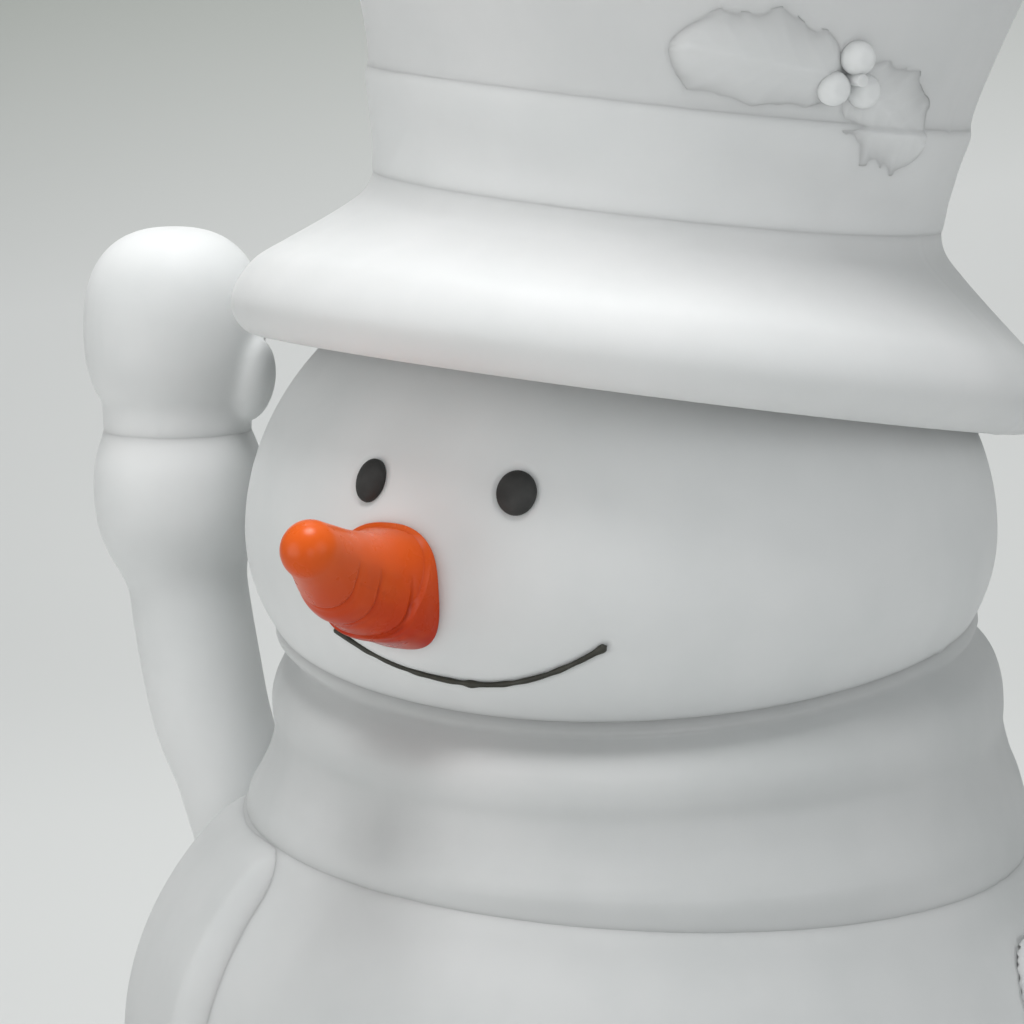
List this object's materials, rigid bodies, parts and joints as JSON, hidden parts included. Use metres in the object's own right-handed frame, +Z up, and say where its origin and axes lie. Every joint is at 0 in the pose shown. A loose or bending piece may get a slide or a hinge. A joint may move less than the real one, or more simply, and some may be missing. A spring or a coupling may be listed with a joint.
{
  "type": "light-up yard snowman",
  "caption": "Hollow moulded light-up snowman with a lift-off hat, turning head, plug-in arms and a twist-lock lamp in its base.",
  "frame": {"origin": "on the floor at the centre of the base ring's underside", "axes": "+Z up along the body's axis; the face looks along -Y; the snowman's left hand is at +X"},
  "size_m": [0.5537, 0.4613, 0.8064],
  "materials": {
    "white_shell": "satin translucent polyethylene",
    "white_base": "satin injection moulding",
    "white_sprig": "satin",
    "black_face": "satin",
    "mouth_black": "matt",
    "orange_nose": "gloss",
    "black_lamp": "fine texture",
    "black_rubber": "matt",
    "spring_steel": "bright zinc",
    "cap_metal": "nickel-plated",
    "frosted_glass": "frosted"
  },
  "bodies": {
    "body": {"body_shell": "white_shell", "base_ring": "white_base", "belly_buttons": "black_face", "belly_push_nuts": "spring_steel", "scarf_wrap": "white_shell", "scarf_tail": "white_shell"},
    "head": {"head_shell": "white_shell", "right_eye": "black_face", "left_eye": "black_face", "eye_push_nuts": "spring_steel", "mouth_inlay": "mouth_black", "carrot_nose": "orange_nose", "nose_retainer": "white_base"},
    "hat": {"hat_shell": "white_shell", "hat_band": "white_shell", "holly_leaf_front": "white_sprig", "holly_leaf_rear": "white_sprig", "holly_berries": "white_sprig", "holly_pin": "white_sprig"},
    "right_arm": {"right_sleeve": "white_shell", "right_mitten": "white_shell"},
    "left_arm": {"left_sleeve": "white_shell", "left_mitten": "white_shell"},
    "lamp_unit": {"lamp_plate": "white_base", "plate_seal": "black_rubber", "lamp_stand": "white_base", "lamp_holder": "black_lamp", "holder_nut": "black_lamp", "switch_body": "black_lamp", "strain_relief": "black_rubber", "power_lead": "black_rubber", "lead_connector": "black_lamp"},
    "bulb": {"bulb_cap": "cap_metal", "bulb_globe": "frosted_glass"},
    "button": {"power_button": "black_face"},
    "collar": {"connector_collar": "black_lamp"}
  },
  "joints": [
    {"name": "head_turn", "type": "hinge", "parent": "body", "child": "head", "pos_m": [0, 0, 0.43], "axis": [0, 0, 1], "range_deg": [-20, 20]},
    {"name": "hat_lift", "type": "slide", "parent": "head", "child": "hat", "axis": [0.0929, 0.0479, 0.9945], "range_m": [0, 0.15]},
    {"name": "right_arm_twist", "type": "hinge", "parent": "body", "child": "right_arm", "pos_m": [-0.17171, -0.02108, 0.317], "axis": [-0.3067, -0.0377, 0.9511], "range_deg": [-20, 35]},
    {"name": "left_arm_swing", "type": "hinge", "parent": "body", "child": "left_arm", "pos_m": [0.19, 0, 0.325], "axis": [1, 0, 0], "range_deg": [-100, 35]},
    {"name": "lamp_twist", "type": "hinge", "parent": "body", "child": "lamp_unit", "pos_m": [0, 0, 0.011], "axis": [0, 0, 1], "range_deg": [0, 45]},
    {"name": "bulb_turn", "type": "hinge", "parent": "lamp_unit", "child": "bulb", "pos_m": [0, 0, 0.08], "axis": [0, 0, 1], "continuous": true},
    {"name": "button_press", "type": "slide", "parent": "lamp_unit", "child": "button", "axis": [0, 0, 1], "range_m": [0, 0.0025], "stiffness_N_per_m": 200, "springref_m": -0.002},
    {"name": "collar_turn", "type": "hinge", "parent": "lamp_unit", "child": "collar", "pos_m": [0.06977, 0.1917, 0.0094], "axis": [0.342, 0.9397, 0], "continuous": true}
  ]
}
